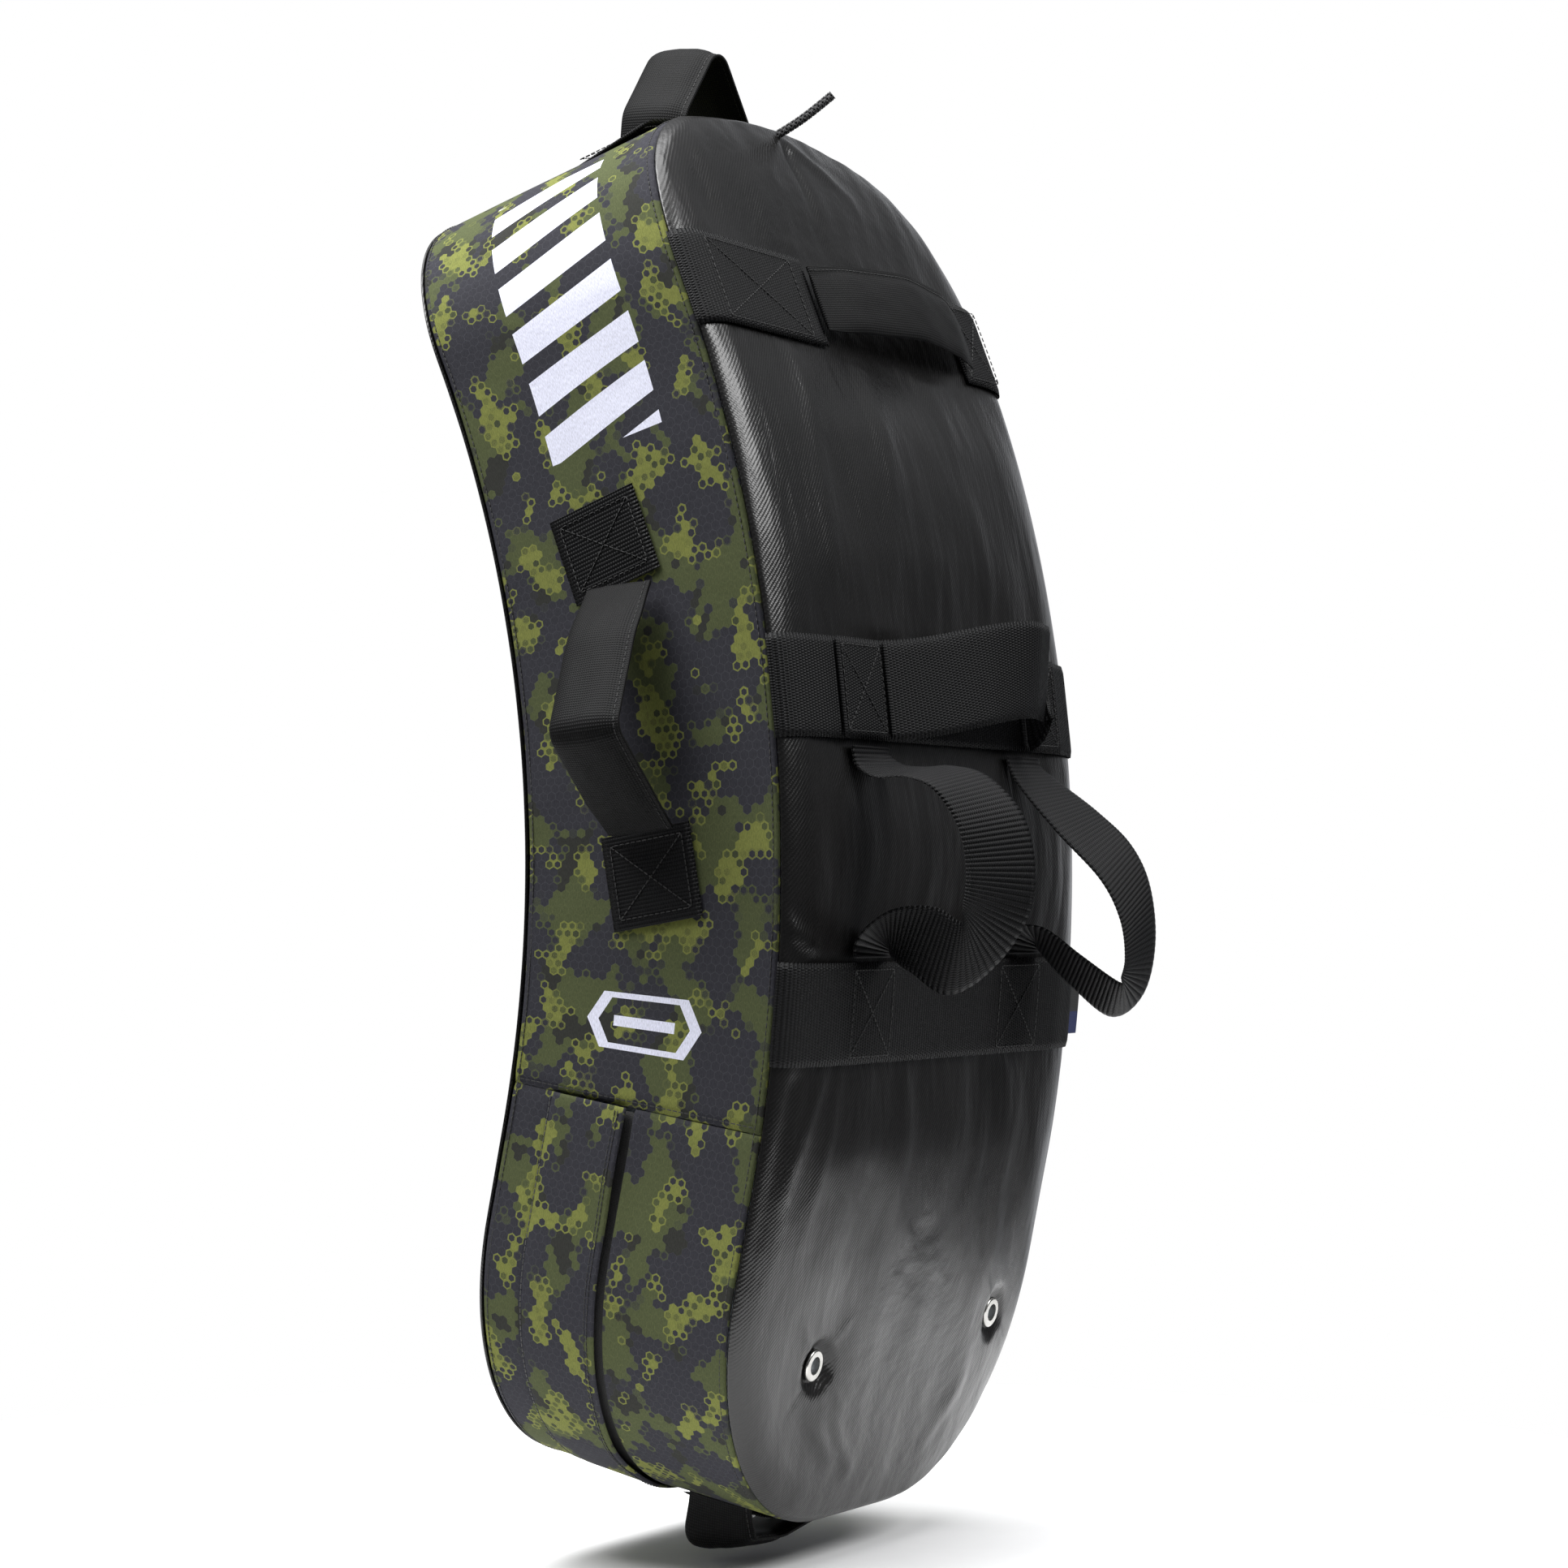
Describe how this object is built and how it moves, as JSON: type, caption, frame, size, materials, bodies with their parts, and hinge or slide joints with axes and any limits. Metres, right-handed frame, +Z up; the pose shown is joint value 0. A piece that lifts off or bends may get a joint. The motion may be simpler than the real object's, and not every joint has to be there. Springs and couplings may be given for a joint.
{
  "type": "curved strike shield",
  "caption": "Curved foam strike shield in a zipped cover, with a forearm loop, two upright grips and carrying handles on its back, sides and ends.",
  "frame": {"origin": "on the rear face, in the middle of its width, midway between the forearm strap and the lower strap, where the holder's arm carries it", "axes": "+Z up along the rear face at the origin, +Y out of the rear face towards the holder, +X towards the side whose zipper flap runs up to the seam"},
  "size_m": [0.4352, 0.315, 0.7771],
  "materials": {
    "foam": "pale blue-white closed-cell foam",
    "handle_foam": "soft foam strip",
    "vinyl": "black coated vinyl with a fine diagonal weave, satin gloss",
    "printed_cloth": "polyester cloth printed with a digital hexagon camouflage",
    "webbing": "black ribbed nylon webbing",
    "zipper_tape": "woven tape",
    "zipper_coil": "nylon coil",
    "zipper_metal": "black lacquered zinc",
    "eyelet_nickel": "nickel-plated brass",
    "label_cloth": "woven label, plain",
    "braided_cord": "braided polyester cord"
  },
  "bodies": {
    "root": {"foam_rear_layer": "foam", "foam_strike_layer": "foam", "foam_middle_block": "foam", "rear_panel": "vinyl", "strike_panel": "vinyl", "gusset_upper": "printed_cloth", "gusset_lower_front": "printed_cloth", "gusset_lower_rear": "printed_cloth", "zipper_flap": "printed_cloth", "zipper_tape_front": "zipper_tape", "zipper_tape_rear": "zipper_tape", "zipper_coil_front": "zipper_coil", "zipper_coil_rear": "zipper_coil", "zipper_stops": "zipper_metal", "upper_handle_tabs": "webbing", "forearm_strap": "webbing", "forearm_loop_tabs": "webbing", "lower_strap": "webbing", "grip_left_tails": "webbing", "grip_right_tails": "webbing", "side_handle_left_tabs": "webbing", "side_handle_right_tabs": "webbing", "top_handle_tabs": "webbing", "bottom_handle_tabs": "webbing", "eyelets": "eyelet_nickel", "eyelet_washers": "eyelet_nickel", "label_root": "label_cloth", "cord_end": "braided_cord", "upper_handle_ends": "webbing", "forearm_loop_ends": "webbing", "grip_left_ends": "webbing", "grip_right_ends": "webbing", "side_handle_left_ends": "webbing", "side_handle_right_ends": "webbing", "top_handle_ends": "webbing", "bottom_handle_ends": "webbing"},
    "upper_handle": {"upper_handle": "webbing", "upper_handle_core": "handle_foam"},
    "forearm_loop": {"forearm_loop": "webbing"},
    "grip_left": {"grip_left": "webbing"},
    "grip_right": {"grip_right": "webbing"},
    "side_handle_left": {"side_handle_left": "webbing", "side_handle_left_core": "handle_foam"},
    "side_handle_right": {"side_handle_right": "webbing", "side_handle_right_core": "handle_foam"},
    "top_handle": {"top_handle": "webbing", "top_handle_core": "handle_foam"},
    "bottom_handle": {"bottom_handle": "webbing", "bottom_handle_core": "handle_foam"},
    "label_tag": {"label_tag": "label_cloth"},
    "zipper_slider": {"zipper_slider": "zipper_metal"},
    "zipper_pull": {"zipper_pull": "zipper_metal"}
  },
  "joints": [
    {"name": "upper_handle_swing", "type": "hinge", "parent": "root", "child": "upper_handle", "pos_m": [0, -0.0488, 0.27871], "axis": [1, 0, 0], "range_deg": [-18, 18], "stiffness_Nm_per_rad": 0.4, "deforming": ["upper_handle_ends"]},
    {"name": "forearm_loop_swing", "type": "hinge", "parent": "root", "child": "forearm_loop", "pos_m": [0, 0.00004, 0.07907], "axis": [1, 0, 0], "range_deg": [-8, 25], "stiffness_Nm_per_rad": 0.3, "deforming": ["forearm_loop_ends"]},
    {"name": "grip_left_swing", "type": "hinge", "parent": "root", "child": "grip_left", "pos_m": [0.088, 0.00099, -0.00445], "axis": [0, 0, 1], "range_deg": [-35, 35], "stiffness_Nm_per_rad": 0.3, "deforming": ["grip_left_ends"]},
    {"name": "grip_right_swing", "type": "hinge", "parent": "root", "child": "grip_right", "pos_m": [-0.088, 0.00099, -0.00445], "axis": [0, 0, 1], "range_deg": [-35, 35], "stiffness_Nm_per_rad": 0.3, "deforming": ["grip_right_ends"]},
    {"name": "side_handle_left_swing", "type": "hinge", "parent": "root", "child": "side_handle_left", "pos_m": [0.1685, -0.08514, 0.06652], "axis": [0, -0.0942, 0.9956], "range_deg": [-35, 35], "stiffness_Nm_per_rad": 0.4, "deforming": ["side_handle_left_ends"]},
    {"name": "side_handle_right_swing", "type": "hinge", "parent": "root", "child": "side_handle_right", "pos_m": [-0.1685, -0.08514, 0.06652], "axis": [0, -0.0942, 0.9956], "range_deg": [-35, 35], "stiffness_Nm_per_rad": 0.4, "deforming": ["side_handle_right_ends"]},
    {"name": "top_handle_swing", "type": "hinge", "parent": "root", "child": "top_handle", "pos_m": [0, -0.13736, 0.36408], "axis": [1, 0, 0], "range_deg": [-10, 25], "stiffness_Nm_per_rad": 0.4, "deforming": ["top_handle_ends"]},
    {"name": "bottom_handle_swing", "type": "hinge", "parent": "root", "child": "bottom_handle", "pos_m": [0, -0.09694, -0.32811], "axis": [1, 0, 0], "range_deg": [-15, 15], "stiffness_Nm_per_rad": 0.4, "deforming": ["bottom_handle_ends"]},
    {"name": "label_flap", "type": "hinge", "parent": "root", "child": "label_tag", "pos_m": [-0.1716, -0.01223, -0.08115], "axis": [0, 0.104, 0.9946], "range_deg": [-55, 55], "stiffness_Nm_per_rad": 0.002},
    {"name": "zipper_slide", "type": "slide", "parent": "root", "child": "zipper_slider", "axis": [0, -0.2069, -0.9784], "range_m": [0, 0.036]},
    {"name": "zipper_pull_swing", "type": "hinge", "parent": "zipper_slider", "child": "zipper_pull", "pos_m": [-0.1675, -0.10294, -0.13586], "axis": [0, 0.9784, -0.2069], "range_deg": [0, 150]}
  ]
}
